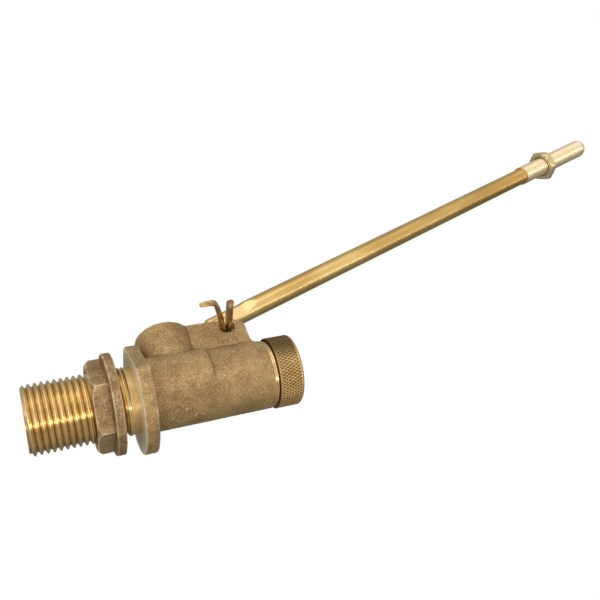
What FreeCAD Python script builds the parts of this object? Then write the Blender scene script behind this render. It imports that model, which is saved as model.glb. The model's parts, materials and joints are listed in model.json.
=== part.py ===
import math
import os
import re

import FreeCAD
import Part
import Sketcher

# Side-entry float valve of the piston type, half-inch size. Millimetres.
# Origin: centre of the flange's tank-side face. +X runs from the inlet shank to the end cap,
# +Z points to the lugs that carry the lever. In service the valve hangs the other way up.

V = FreeCAD.Vector
OUT = "parts"

doc = FreeCAD.newDocument("float_valve")
sheet = doc.addObject("Spreadsheet::Sheet", "dims")

DIMENSIONS = {
    # how far a cut runs past the face it opens
    "cut_over": 1.0,
    # G 1/2 shank
    "thread_major": 20.955,
    "thread_pitch": 1.814,
    "thread_depth": 1.162,
    "crest_flat": 0.3,
    "shank_length": 31.5,
    "shank_chamfer": 0.8,
    "free_thread": 17.4,
    "neck_length": 2.3,
    "neck_dia": 20.4,
    "inlet_dia": 14.0,
    # mounting flange
    "flange_dia": 33.6,
    "flange_thick": 4.1,
    "flange_edge": 0.7,
    "gate_flat": 13.9,
    "gate_angle": 58.0,
    # cylinder
    "barrel_dia": 21.9,
    "barrel_end": 42.1,
    "register_dia": 21.1,
    "register_end": 43.2,
    "spigot_dia": 19.8,
    "spigot_end": 48.6,
    "bore_dia": 16.0,
    "web_start": 1.0,
    "web_end": 6.0,
    "web_hole": 10.4,
    "bulge": 0.6,
    "bulge_lift": 0.5,
    "bulge_end": 23.4,
    "toe_radius": 1.8,
    # outlet boss
    "boss_x": 13.5,
    "boss_dia": 17.8,
    "boss_top": 20.95,
    "outlet_dia": 11.2,
    "outlet_floor": 9.4,
    "port_dia": 9.0,
    # lugs and pivot
    "lug_width": 10.4,
    "lug_end": 40.15,
    "lug_shoulder": 31.0,
    "lug_corner": 2.6,
    "lug_drop": 0.866667,
    "slot_width": 5.6,
    "slot_start": 24.6,
    "slot_floor": 11.3,
    "window_half": 5.9,
    "pivot_x": 34.05,
    "pivot_z": 18.0,
    "lug_hole": 5.2,
    # end cap
    "cap_dia": 22.9,
    "cap_start": 43.35,
    "cap_end": 51.55,
    "cap_wall": 2.0,
    "cap_edge": 0.9,
    "cap_bevel": 0.3,
    "screw_gap": 0.05,
    # back nut
    "nut_end": -5.1,
    "nut_flange": 2.7,
    "nut_length": 7.8,
    "nut_flats": 24.5,
    "nut_flange_dia": 31.0,
    "nut_taper": 1.3,
    "nut_tilt": 8.0,
    # seat nozzle and its washer
    "seat_face": 8.2,
    "jet_dia": 5.0,
    "jet_mouth": 1.0,
    "lip_bevel": 0.5,
    "lip_dia": 7.2,
    "stem_dia": 10.2,
    "collar_dia": 13.6,
    "collar_thick": 2.0,
    "nozzle_washer": 0.8,
    # piston
    "seat_lift": 5.33,
    "piston_dia": 15.84,
    "piston_rear": 44.5,
    "screw_dia": 11.4,
    "facing_dia": 11.2,
    "facing_thick": 3.2,
    "retainer_lip": 1.2,
    "retainer_hole": 9.2,
    "retainer_dia": 15.0,
    "retainer_length": 8.6,
    "retainer_edge": 0.6,
    "notch_floor": -1.6,
    "notch_gap": 0.2,
    "piston_edge": 0.3,
    "groove_place": 3.0,
    "groove_width": 1.0,
    "groove_depth": 0.5,
    # lever
    "lever_rise": 19.2,
    "lever_offset": 5.0,
    "thread_runout": 0.5,
    "rod_dia": 7.0,
    "rod_head": -3.2,
    "rod_thread": 169.5,
    "rod_tip": 218.2,
    "tip_radius": 3.2,
    "float_thread": 7.9,
    "float_pitch": 1.25,
    "float_depth": 0.7,
    "float_free": 189.0,
    "head_thick": 5.1,
    "head_flats": 11.0,
    "head_blend": 16.0,
    "eye_radius": 5.4,
    "cam_reach": 15.5,
    "cam_radius": 3.6,
    "finger_root": 4.3,
    "finger_waist": 6.0,
    "finger_half": 1.9,
    # split pin
    "pin_dia": 3.9,
    "pin_gap": 0.05,
    "pin_leg": 16.6,
    "pin_spread": 21.0,
    "pin_spread_radius": 8.0,
    "pin_straight": 11.95,
    "pin_bend": 2.6,
    "pin_tail": 3.05,
    "pin_eye_gap": 0.4,
    "pin_loop": 2.0,
    "pin_neck": 2.6,
    # float lock nut
    "locknut_face": 184.9,
    "locknut_thick": 3.0,
    "locknut_flats": 12.0,
    "locknut_taper": 0.55,
    "locknut_tilt": 24.0,
}


def fill_sheet():
    """One row for each driving dimension: its name, its value and an alias of the same name."""
    for row, (name, value) in enumerate(DIMENSIONS.items(), start=1):
        sheet.set("A%d" % row, name)
        sheet.set("B%d" % row, repr(value))
        sheet.setAlias("B%d" % row, name)
    doc.recompute()


def size(formula):
    """The value of a formula written in the sheet's aliases."""
    return float(sheet.evalExpression(formula))


def on_sheet(formula):
    """The same formula as an expression for another object: each alias gets the sheet's name."""
    return re.sub(r"[a-z]\w*", lambda found: prefix(found.group()), formula)


def prefix(word):
    return "dims." + word if word in DIMENSIONS else word


def new_body(label):
    body = doc.addObject("PartDesign::Body", label)
    body.Label = label
    return body


def new_sketch(body, name, plane, lift=None, shift=None, turn=None):
    """A sketch on one of the body's origin planes, moved along its normal or within the plane."""
    sketch = body.newObject("Sketcher::SketchObject", name)
    face = [item for item in body.Origin.OriginFeatures if item.Role == plane][0]
    sketch.AttachmentSupport = [(face, "")]
    sketch.MapMode = "FlatFace"
    if lift:
        sketch.setExpression("AttachmentOffset.Base.z", on_sheet(lift))
    if shift:
        sketch.setExpression("AttachmentOffset.Base.x", on_sheet(shift[0]))
        sketch.setExpression("AttachmentOffset.Base.y", on_sheet(shift[1]))
    if turn:
        axis, angle = turn
        sketch.AttachmentOffset = FreeCAD.Placement(V(0, 0, 0), FreeCAD.Rotation(axis, size(angle)))
        sketch.setExpression("AttachmentOffset.Rotation.Angle", on_sheet(angle))
    return sketch


def pin_point(sketch, geometry, vertex, corner):
    """Ties one vertex to the sketch's origin by a pair of formulas."""
    for kind, formula in zip(("DistanceX", "DistanceY"), corner):
        number = sketch.addConstraint(
            Sketcher.Constraint(kind, -1, 1, geometry, vertex, size(formula))
        )
        sketch.setExpression("Constraints[%d]" % number, on_sheet(formula))


def outline(sketch, corners):
    """A closed outline of straight lines, each corner a pair of formulas."""
    places = [V(size(x), size(y), 0) for x, y in corners]
    first = sketch.GeometryCount
    count = len(corners)
    for number in range(count):
        sketch.addGeometry(Part.LineSegment(places[number], places[(number + 1) % count]))
    for number in range(count):
        following = first + (number + 1) % count
        sketch.addConstraint(Sketcher.Constraint("Coincident", first + number, 2, following, 1))
    for number, corner in enumerate(corners):
        pin_point(sketch, first + number, 1, corner)


def circle(sketch, centre, radius):
    """A circle from three formulas."""
    place = V(size(centre[0]), size(centre[1]), 0)
    number = sketch.addGeometry(Part.Circle(place, V(0, 0, 1), size(radius)))
    pin_point(sketch, number, 3, centre)
    bound = sketch.addConstraint(Sketcher.Constraint("Radius", number, size(radius)))
    sketch.setExpression("Constraints[%d]" % bound, on_sheet(radius))


def revolve(body, name, sketch):
    """Turns a profile a full turn about the sketch's own horizontal axis."""
    feature = body.newObject("PartDesign::Revolution", name)
    feature.Profile = sketch
    feature.ReferenceAxis = (sketch, ["H_Axis"])
    feature.Angle = 360
    return settle(feature)


def turn_away(body, name, sketch):
    """Cuts a profile away a full turn about the sketch's own horizontal axis."""
    feature = body.newObject("PartDesign::Groove", name)
    feature.Profile = sketch
    feature.ReferenceAxis = (sketch, ["H_Axis"])
    feature.Angle = 360
    return settle(feature, body)


def pad(body, name, sketch, length, middle=False, back=False):
    feature = body.newObject("PartDesign::Pad", name)
    feature.Profile = sketch
    feature.setExpression("Length", on_sheet(length))
    feature.Midplane = middle
    feature.Reversed = back
    return settle(feature)


def pocket(body, name, sketch, length, middle=False, back=False):
    feature = body.newObject("PartDesign::Pocket", name)
    feature.Profile = sketch
    feature.setExpression("Length", on_sheet(length))
    feature.Midplane = middle
    feature.Reversed = back
    return settle(feature, body)


def settle(feature, cut_body=None):
    """Recomputes; a cut has to have removed something."""
    doc.recompute()
    if cut_body:
        before = feature.BaseFeature.Shape.Volume
        if feature.Shape.Volume > before - 1e-6:
            raise RuntimeError(feature.Name + " removed nothing")
    return feature


def repeat(body, name, feature, direction, spacing, count):
    """Repeats a cut along a sketch axis."""
    row = body.newObject("PartDesign::LinearPattern", name)
    row.Originals = [feature]
    row.Direction = direction
    row.Mode = "Spacing"
    row.setExpression("Offset", on_sheet(spacing))
    row.Occurrences = count
    body.Tip = row
    doc.recompute()
    return row


def round_edges(body, name, chosen, radius):
    """Fillets the edges of the body's tip that a test picks out."""
    base = body.Tip
    edges = []
    for number, edge in enumerate(base.Shape.Edges, start=1):
        if chosen(edge):
            edges.append("Edge%d" % number)
    if not edges:
        raise RuntimeError(name + " found no edge")
    feature = body.newObject("PartDesign::Fillet", name)
    feature.Base = (base, edges)
    feature.setExpression("Radius", on_sheet(radius))
    return settle(feature)


def ring_edge(edge, axial, radius):
    """True for a full circle about the X axis at a place along it."""
    curve = edge.Curve
    if not isinstance(curve, Part.Circle):
        return False
    central = math.hypot(curve.Center.y, curve.Center.z) < 1e-4
    return central and abs(curve.Center.x - axial) < 1e-3 and abs(curve.Radius - radius) < 1e-3


def thread_grooves(body, name, plane_sketch, length, pitch):
    """V grooves side by side: a screw thread drawn as rings."""
    groove = turn_away(body, name, plane_sketch)
    count = int(size(length) / size(pitch))
    return repeat(body, name + "_row", groove, (plane_sketch, ["H_Axis"]), pitch, count)


def v_groove(body, name, start, major, pitch, depth, shift=None, turn=None):
    """The section of one thread groove, open at the crest."""
    sketch = new_sketch(body, name, "XZ_Plane", shift=shift, turn=turn)
    left = "%s + crest_flat / 2" % start
    right = "%s + %s - crest_flat / 2" % (start, pitch)
    middle = "%s + %s / 2" % (start, pitch)
    outline(
        sketch,
        [
            (left, "%s / 2" % major),
            (middle + " - crest_flat / 2", "%s / 2 - %s" % (major, depth)),
            (middle + " + crest_flat / 2", "%s / 2 - %s" % (major, depth)),
            (right, "%s / 2" % major),
            (right, "%s / 2 + cut_over" % major),
            (left, "%s / 2 + cut_over" % major),
        ],
    )
    return sketch


# ---------------------------------------------------------------- valve body


def valve_body():
    body = new_body("valve_body")
    turned = new_sketch(body, "body_profile", "XZ_Plane")
    outline(
        turned,
        [
            ("-shank_length", "0"),
            ("-shank_length", "thread_major / 2 - shank_chamfer"),
            ("shank_chamfer - shank_length", "thread_major / 2"),
            ("-neck_length", "thread_major / 2"),
            ("-neck_length", "neck_dia / 2"),
            ("0", "neck_dia / 2"),
            ("0", "flange_dia / 2"),
            ("flange_thick", "flange_dia / 2"),
            ("flange_thick", "barrel_dia / 2"),
            ("barrel_end", "barrel_dia / 2"),
            ("barrel_end", "register_dia / 2"),
            ("register_end", "register_dia / 2"),
            ("register_end", "spigot_dia / 2"),
            ("spigot_end - shank_chamfer / 2", "spigot_dia / 2"),
            ("spigot_end", "spigot_dia / 2 - shank_chamfer / 2"),
            ("spigot_end", "0"),
        ],
    )
    revolve(body, "turned_casting", turned)
    flange_gate(body)
    side_bulges(body)
    boss_and_lugs(body)
    waterway(body)
    lever_slot(body)
    start = "-shank_length + free_thread + crest_flat"
    section = v_groove(
        body, "shank_groove", start, "thread_major", "thread_pitch", "thread_depth"
    )
    length = "shank_length - free_thread - neck_length - crest_flat"
    thread_grooves(body, "shank_thread", section, length, "thread_pitch")
    return body


def flange_gate(body):
    """The flange's rounded rim and the flat where the casting's gate was ground off."""
    radius = size("flange_dia / 2")
    round_edges(
        body,
        "flange_rim",
        lambda edge: ring_edge(edge, 0, radius) or ring_edge(edge, size("flange_thick"), radius),
        "flange_edge",
    )
    gate = new_sketch(body, "gate_section", "YZ_Plane", turn=(V(0, 0, 1), "gate_angle"))
    outline(
        gate,
        [
            ("-flange_dia", "gate_flat"),
            ("flange_dia", "gate_flat"),
            ("flange_dia", "flange_dia"),
            ("-flange_dia", "flange_dia"),
        ],
    )
    pocket(body, "gate_flat_cut", gate, "flange_thick", back=True)


def side_bulges(body):
    """The chamber behind the flange stands a little proud on both sides."""
    section = new_sketch(body, "bulge_section", "YZ_Plane", lift="flange_thick / 2")
    radius = size("barrel_dia / 2")
    side = size("bulge")
    lift = size("bulge_lift")
    right = Part.Circle(V(side, lift, 0), V(0, 0, 1), radius)
    left = Part.Circle(V(-side, lift, 0), V(0, 0, 1), radius)
    top = lift + radius
    bottom = lift - radius
    section.addGeometry(Part.ArcOfCircle(right, -math.pi / 2, math.pi / 2))
    section.addGeometry(Part.LineSegment(V(side, top, 0), V(-side, top, 0)))
    section.addGeometry(Part.ArcOfCircle(left, math.pi / 2, 3 * math.pi / 2))
    section.addGeometry(Part.LineSegment(V(-side, bottom, 0), V(side, bottom, 0)))
    for number in range(4):
        section.addConstraint(Sketcher.Constraint("Tangent", number, 2, (number + 1) % 4, 1))
    pin_point(section, 0, 3, ("bulge", "bulge_lift"))
    pin_point(section, 2, 3, ("-bulge", "bulge_lift"))
    bound = section.addConstraint(Sketcher.Constraint("Radius", 0, radius))
    section.setExpression("Constraints[%d]" % bound, on_sheet("barrel_dia / 2"))
    pad(body, "chamber_bulge", section, "bulge_end - flange_thick / 2")


def boss_and_lugs(body):
    boss = new_sketch(body, "boss_section", "XY_Plane")
    circle(boss, ("boss_x", "0"), "boss_dia / 2")
    pad(body, "outlet_boss", boss, "boss_top")
    lugs = new_sketch(body, "lug_outline", "XZ_Plane")
    outline(
        lugs,
        [
            ("boss_x", "0"),
            ("boss_x", "boss_top"),
            ("lug_shoulder", "boss_top"),
            ("lug_end - lug_corner", "boss_top - lug_drop"),
            ("lug_end", "boss_top - lug_corner"),
            ("lug_end", "0"),
        ],
    )
    pad(body, "lugs", lugs, "lug_width", middle=True)

    def crest(edge):
        """The two obtuse corners along the top of the lugs."""
        box = edge.BoundBox
        across = abs(box.YLength - size("lug_width")) < 1e-3 and box.XLength + box.ZLength < 1e-3
        above = edge.CenterOfMass.z > size("boss_top - lug_corner") - 1e-3
        return across and above and edge.CenterOfMass.x > size("slot_start")

    round_edges(body, "lug_crest", crest, "lug_corner")
    radius = size("barrel_dia / 2")
    end = size("lug_end")
    round_edges(body, "lug_toe", lambda edge: ring_edge(edge, end, radius), "toe_radius")


def waterway(body):
    """Inlet, the web that holds the seat, and the cylinder the piston runs in."""
    inside = new_sketch(body, "waterway_profile", "XZ_Plane")
    outline(
        inside,
        [
            ("-shank_length - cut_over", "0"),
            ("-shank_length - cut_over", "inlet_dia / 2"),
            ("web_start", "inlet_dia / 2"),
            ("web_start", "web_hole / 2"),
            ("web_end", "web_hole / 2"),
            ("web_end", "bore_dia / 2"),
            ("spigot_end + cut_over", "bore_dia / 2"),
            ("spigot_end + cut_over", "0"),
        ],
    )
    turn_away(body, "waterway", inside)
    port = new_sketch(body, "port_section", "XY_Plane")
    circle(port, ("boss_x", "0"), "port_dia / 2")
    pocket(body, "port", port, "boss_top", back=True)
    outlet = new_sketch(body, "outlet_section", "XY_Plane", lift="outlet_floor")
    circle(outlet, ("boss_x", "0"), "outlet_dia / 2")
    pocket(body, "outlet", outlet, "boss_top - outlet_floor", back=True)


def lever_slot(body):
    """The slot between the lugs, its window into the cylinder and the hole for the pivot."""
    slot = new_sketch(body, "slot_outline", "XZ_Plane")
    outline(
        slot,
        [
            ("slot_start", "boss_top + cut_over"),
            ("slot_start", "slot_floor"),
            ("pivot_x - window_half", "slot_floor"),
            ("pivot_x - window_half", "bore_dia / 4"),
            ("pivot_x + window_half", "bore_dia / 4"),
            ("pivot_x + window_half", "slot_floor"),
            ("lug_end + cut_over", "slot_floor"),
            ("lug_end + cut_over", "boss_top + cut_over"),
        ],
    )
    pocket(body, "slot", slot, "slot_width", middle=True)
    hole = new_sketch(body, "pivot_section", "XZ_Plane")
    circle(hole, ("pivot_x", "pivot_z"), "lug_hole / 2")
    pocket(body, "pivot_hole", hole, "lug_width * 2", middle=True)


# ---------------------------------------------------------------- screwed-on pieces


def hexagon(sketch, flats):
    """A hexagon centred on the sketch's origin, with corners on its horizontal axis."""
    corner = "%s / 2 / cos(30)" % flats
    corners = []
    for number in range(6):
        angle = 60 * number
        corners.append(("%s * cos(%d)" % (corner, angle), "%s * sin(%d)" % (corner, angle)))
    outline(sketch, corners)


def back_nut():
    """Flanged hexagon nut that clamps the tank wall against the flange."""
    body = new_body("back_nut")
    hexagon_plane = new_sketch(body, "nut_hexagon", "YZ_Plane")
    hexagon(hexagon_plane, "nut_flats")
    pad(body, "nut_block", hexagon_plane, "nut_length")
    flange = new_sketch(body, "nut_flange_section", "YZ_Plane", lift="nut_length - nut_flange")
    circle(flange, ("0", "0"), "nut_flange_dia / 2")
    pad(body, "nut_flange_disc", flange, "nut_flange")
    hole = new_sketch(body, "nut_bore_section", "YZ_Plane")
    circle(hole, ("0", "0"), "thread_major / 2 + screw_gap")
    pocket(body, "nut_bore", hole, "nut_length", back=True)
    taper = new_sketch(body, "nut_taper_section", "XZ_Plane")
    outline(
        taper,
        [
            ("-1", "nut_flats / 2 - nut_taper"),
            ("0", "nut_flats / 2 - nut_taper"),
            ("nut_taper", "nut_flats / 2 / cos(30)"),
            ("nut_taper", "nut_flats"),
            ("-1", "nut_flats"),
        ],
    )
    turn_away(body, "nut_corner_taper", taper)
    body.Placement.Rotation = FreeCAD.Rotation(V(1, 0, 0), size("nut_tilt"))
    body.setExpression("Placement.Base.x", on_sheet("nut_end - nut_length"))
    return body


def end_cap():
    """Knurled cap that screws over the open end of the cylinder."""
    body = new_body("end_cap")
    profile = new_sketch(body, "cap_profile", "XZ_Plane")
    outline(
        profile,
        [
            ("cap_start", "spigot_dia / 2 + screw_gap"),
            ("cap_start", "cap_dia / 2 - cap_bevel"),
            ("cap_start + cap_bevel", "cap_dia / 2"),
            ("cap_end - cap_edge", "cap_dia / 2"),
            ("cap_end", "cap_dia / 2 - cap_edge"),
            ("cap_end", "0"),
            ("cap_end - cap_wall", "0"),
            ("cap_end - cap_wall", "spigot_dia / 2 + screw_gap"),
        ],
    )
    revolve(body, "cap_shell", profile)
    return body


def float_lock_nut():
    """Thin nut on the lever's thread that locks the float."""
    body = new_body("float_lock_nut")
    block = new_sketch(body, "locknut_hexagon", "YZ_Plane")
    hexagon(block, "locknut_flats")
    pad(body, "locknut_block", block, "locknut_thick")
    hole = new_sketch(body, "locknut_bore_section", "YZ_Plane")
    circle(hole, ("0", "0"), "float_thread / 2 + screw_gap")
    pocket(body, "locknut_bore", hole, "locknut_thick", back=True)
    chamfer_corners(body, "front", "0", "locknut_taper", "-1")
    chamfer_corners(
        body, "back", "locknut_thick", "locknut_thick - locknut_taper", "locknut_thick + cut_over"
    )
    tilt = FreeCAD.Placement(V(0, 0, 0), FreeCAD.Rotation(V(1, 0, 0), size("locknut_tilt")))
    body.Placement = lever_frame("locknut_face", "lever_offset").multiply(tilt)
    return body


def chamfer_corners(body, name, face, depth, outside):
    """Turns the hexagon's corners down to a cone at one face."""
    section = new_sketch(body, "taper_" + name, "XZ_Plane")
    outline(
        section,
        [
            (outside, "locknut_flats / 2"),
            (face, "locknut_flats / 2"),
            (depth, "locknut_flats / 2 / cos(30)"),
            (depth, "locknut_flats"),
            (outside, "locknut_flats"),
        ],
    )
    turn_away(body, "taper_cut_" + name, section)


def lever_frame(along, above):
    """A placement on the lever: so far along the rod from the pivot, so far above the pivot."""
    turn = FreeCAD.Rotation(V(0, -1, 0), size("lever_rise"))
    pivot = V(size("pivot_x"), 0, size("pivot_z"))
    return FreeCAD.Placement(pivot + turn.multVec(V(size(along), 0, size(above))), turn)


# ---------------------------------------------------------------- seat and piston


def seat_nozzle():
    body = new_body("seat_nozzle")
    profile = new_sketch(body, "nozzle_profile", "XZ_Plane")
    outline(
        profile,
        [
            ("web_start - nozzle_washer - collar_thick", "jet_dia / 2 + jet_mouth"),
            ("web_start - nozzle_washer - collar_thick", "collar_dia / 2"),
            ("web_start - nozzle_washer", "collar_dia / 2"),
            ("web_start - nozzle_washer", "stem_dia / 2"),
            ("web_end", "stem_dia / 2"),
            ("web_end", "lip_dia / 2"),
            ("seat_face - lip_bevel", "lip_dia / 2"),
            ("seat_face", "jet_dia / 2 + lip_bevel"),
            ("seat_face", "jet_dia / 2"),
            ("web_start + jet_mouth", "jet_dia / 2"),
        ],
    )
    revolve(body, "nozzle", profile)
    return body


def ring(label, start, thick, inner, outer):
    """A flat washer about the X axis."""
    body = new_body(label)
    section = new_sketch(body, label + "_section", "YZ_Plane", lift=start)
    circle(section, ("0", "0"), outer)
    if inner:
        circle(section, ("0", "0"), inner)
    pad(body, label + "_disc", section, thick)
    return body


def nozzle_washer():
    return ring(
        "nozzle_washer",
        "web_start - nozzle_washer",
        "nozzle_washer",
        "stem_dia / 2 + screw_gap",
        "collar_dia / 2",
    )


def facing_washer():
    """The rubber facing that shuts the seat, at the valve's rest position."""
    return ring("piston_washer", "seat_face + seat_lift", "facing_thick", None, "facing_dia / 2")


def piston_retainer():
    """Cap screwed on the piston's nose: its inward lip holds the rubber facing."""
    body = new_body("piston_washer_cap")
    profile = new_sketch(body, "retainer_profile", "XZ_Plane")
    front = "seat_face + seat_lift - retainer_lip"
    outline(
        profile,
        [
            (front, "retainer_hole / 2"),
            (front, "retainer_dia / 2 - retainer_edge"),
            (front + " + retainer_edge", "retainer_dia / 2"),
            (front + " + retainer_length", "retainer_dia / 2"),
            (front + " + retainer_length", "screw_dia / 2 + screw_gap"),
            (front + " + retainer_lip", "screw_dia / 2 + screw_gap"),
            (front + " + retainer_lip", "retainer_hole / 2"),
        ],
    )
    revolve(body, "retainer", profile)
    return body


def oil_groove(start):
    """The four corners of a square groove in the piston's outline."""
    end = start + " + groove_width"
    floor = "piston_dia / 2 - groove_depth"
    return [(start, "piston_dia / 2"), (start, floor), (end, floor), (end, "piston_dia / 2")]


def piston():
    body = new_body("piston_body")
    nose = "seat_face + seat_lift + facing_thick"
    shoulder = "seat_face + seat_lift - retainer_lip + retainer_length"
    full = "piston_dia / 2"
    eased = "piston_dia / 2 - piston_edge"
    corners = [(nose, "0"), (nose, "screw_dia / 2"), (shoulder, "screw_dia / 2")]
    corners += [(shoulder, eased), (shoulder + " + piston_edge", full)]
    corners += oil_groove(shoulder + " + groove_place")
    corners += oil_groove("piston_rear - groove_place")
    corners += [("piston_rear - piston_edge", full), ("piston_rear", eased), ("piston_rear", "0")]
    profile = new_sketch(body, "piston_profile", "XZ_Plane")
    outline(profile, corners)
    revolve(body, "piston_rod", profile)
    notch = new_sketch(body, "notch_outline", "XZ_Plane")
    outline(
        notch,
        [
            ("pivot_x - cam_radius - notch_gap", "piston_dia"),
            ("pivot_x - cam_radius - notch_gap", "notch_floor"),
            ("pivot_x + cam_radius + notch_gap", "notch_floor"),
            ("pivot_x + cam_radius + notch_gap", "piston_dia"),
        ],
    )
    pocket(body, "cam_notch", notch, "slot_width", middle=True)
    return body


# ---------------------------------------------------------------- lever


def lever_arm():
    """Round rod with a flattened head: an eye on the pivot and a cam finger into the piston.

    The body's own frame has its origin on the pivot and +X along the rod.
    """
    body = new_body("lever_arm")
    along = ("0", "lever_offset")
    rod = new_sketch(body, "rod_profile", "XZ_Plane", shift=along)
    outline(
        rod,
        [
            ("rod_head", "0"),
            ("rod_head", "rod_dia / 4"),
            ("rod_head + rod_dia / 4", "rod_dia / 2"),
            ("rod_thread", "rod_dia / 2"),
            ("rod_thread + thread_runout", "float_thread / 2"),
            ("rod_tip", "float_thread / 2"),
            ("rod_tip", "0"),
        ],
    )
    revolve(body, "rod", rod)
    end = size("rod_tip")
    round_edges(body, "rod_dome", lambda edge: edge.CenterOfMass.x > end - 1e-3, "tip_radius")
    flatten_head(body)
    eye = new_sketch(body, "eye_section", "XZ_Plane")
    circle(eye, ("0", "0"), "eye_radius")
    pad(body, "eye", eye, "head_thick", middle=True)
    cam_finger(body)
    hole = new_sketch(body, "eye_bore_section", "XZ_Plane")
    circle(hole, ("0", "0"), "pin_dia / 2 + pin_gap")
    pocket(body, "eye_bore", hole, "head_thick * 2", middle=True)
    start = "rod_thread + thread_runout"
    section = v_groove(
        body, "float_groove", start, "float_thread", "float_pitch", "float_depth", shift=along
    )
    length = "float_free - rod_thread - thread_runout"
    thread_grooves(body, "float_thread_rings", section, length, "float_pitch")
    body.Placement = lever_frame("0", "0")
    return body


def flatten_head(body):
    """Two flats that let the rod's end into the slot, each running out in a ramp."""
    flats = new_sketch(body, "head_flats_outline", "XY_Plane")
    for side in ("", "-"):
        outline(
            flats,
            [
                ("rod_head - cut_over", side + "head_thick / 2"),
                ("head_flats", side + "head_thick / 2"),
                ("head_blend", side + "float_thread / 2"),
                ("head_blend", side + "rod_dia"),
                ("rod_head - cut_over", side + "rod_dia"),
            ],
        )
    pocket(body, "head_flats_cut", flats, "rod_dia * 4", middle=True)


def cam_finger(body):
    """The finger hangs square to the piston when the valve is at rest, whatever the rod's rise."""
    finger = new_sketch(body, "finger_outline", "XZ_Plane", turn=(V(0, 0, 1), "-lever_rise"))
    outline(
        finger,
        [
            ("-finger_root", "0"),
            ("-finger_half", "-finger_waist"),
            ("-finger_half", "-cam_reach"),
            ("finger_half", "-cam_reach"),
            ("finger_half", "-finger_waist"),
            ("finger_root", "0"),
        ],
    )
    pad(body, "finger", finger, "head_thick", middle=True)
    cam = new_sketch(body, "cam_section", "XZ_Plane", turn=(V(0, 0, 1), "-lever_rise"))
    circle(cam, ("0", "-cam_reach"), "cam_radius")
    pad(body, "cam", cam, "head_thick", middle=True)


# ---------------------------------------------------------------- split pin


def split_pin():
    """Half-round wire folded into an eye; its legs pass through lugs and lever and spread.

    A swept half disc whose flat side stays on the inside of the fold needs a fixed binormal,
    so the sweep is made with Part's own pipe shell.
    """
    path = Part.Wire(fold_line())
    start = path.Edges[0].Vertexes[0].Point
    radius = size("pin_dia / 2 - pin_gap / 2")
    low = start - V(0, 0, radius)
    high = start + V(0, 0, radius)
    round_side = Part.Arc(low, start + V(radius, 0, 0), high).toShape()
    section = Part.Wire([round_side, Part.makeLine(high, low)])
    sweep = Part.BRepOffsetAPI.MakePipeShell(path)
    sweep.setBiNormalMode(V(0, 0, 1))
    sweep.add(section)
    sweep.build()
    sweep.makeSolid()
    pin = doc.addObject("Part::Feature", "split_pin")
    pin.Label = "split_pin"
    pin.Shape = sweep.shape()
    pin.Placement = FreeCAD.Placement(V(size("pivot_x"), 0, size("pivot_z")), FreeCAD.Rotation())
    return pin


def fold_line():
    """The inner face of the folded wire: up one leg, round the eye and down the other leg."""
    gap = size("pin_gap / 2")
    neck = size("pin_neck")
    loop = size("pin_loop")
    neck_centre = V(gap + neck, size("lug_width / 2 + pin_eye_gap"), 0)
    loop_centre = V(0, neck_centre.y + math.sqrt((neck + loop) ** 2 - neck_centre.x**2), 0)
    touch = (neck_centre * loop + loop_centre * neck) / (neck + loop)
    half = 0.5 * math.atan2(loop_centre.y - neck_centre.y, neck_centre.x)
    neck_middle = neck_centre + V(-neck * math.cos(half), neck * math.sin(half), 0)
    neck_start = V(gap, neck_centre.y, 0)
    edges = [
        Part.makeLine(V(gap, -size("pin_leg"), 0), neck_start),
        Part.Arc(neck_start, neck_middle, touch).toShape(),
        Part.Arc(touch, loop_centre + V(0, loop, 0), across(touch)).toShape(),
        Part.Arc(across(touch), across(neck_middle), across(neck_start)).toShape(),
    ]
    spread = size("pin_spread")
    parting = V(-gap, -size("head_thick / 2 + pin_gap"), 0)
    edges.append(Part.makeLine(across(neck_start), parting))
    edges.append(bend_arc(parting, 0, size("pin_spread_radius"), spread))
    slope = V(-math.sin(math.radians(spread)), -math.cos(math.radians(spread)), 0)
    edges.append(straight_on(edges, slope * size("pin_straight")))
    edges.append(bend_arc(edges[-1].Vertexes[-1].Point, spread, size("pin_bend"), 90 - spread))
    edges.append(straight_on(edges, V(-size("pin_tail"), 0, 0)))
    return edges


def straight_on(edges, step):
    """A straight stretch from the end of the last edge."""
    start = edges[-1].Vertexes[-1].Point
    return Part.makeLine(start, start + step)


def across(point):
    """The same place on the other leg."""
    return V(-point.x, point.y, point.z)


def bend_arc(start, lean, radius, angle):
    """An arc that leaves start leaning so many degrees from -Y and turns further towards -X."""
    centre = start + V(-math.cos(math.radians(lean)), math.sin(math.radians(lean)), 0) * radius
    ends = []
    for turned in (angle / 2, angle):
        turn = FreeCAD.Rotation(V(0, 0, 1), -turned)
        ends.append(centre + turn.multVec(start - centre))
    return Part.Arc(start, ends[0], ends[1]).toShape()


# ---------------------------------------------------------------- build, check and write

BUILDERS = [
    valve_body,
    back_nut,
    end_cap,
    seat_nozzle,
    nozzle_washer,
    piston,
    facing_washer,
    piston_retainer,
    lever_arm,
    split_pin,
    float_lock_nut,
]


def main():
    fill_sheet()
    nodes = [build() for build in BUILDERS]
    doc.recompute()
    for item in doc.Objects:
        if "Invalid" in item.State or "Error" in item.State:
            raise RuntimeError("%s is %s" % (item.Name, item.State))
    for node in nodes:
        if node.Shape.isNull() or not node.Shape.isValid():
            raise RuntimeError(node.Label + " has no valid shape")
    os.makedirs(OUT, exist_ok=True)
    for node in nodes:
        node.Shape.exportStep("%s/%s.step" % (OUT, node.Label))
        print(node.Label, len(node.Shape.Solids), "solid", round(node.Shape.Volume, 1), "mm3")


main()
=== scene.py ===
import json
import math

import bmesh
import bpy
import numpy as np
from mathutils import Matrix, Vector


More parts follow.
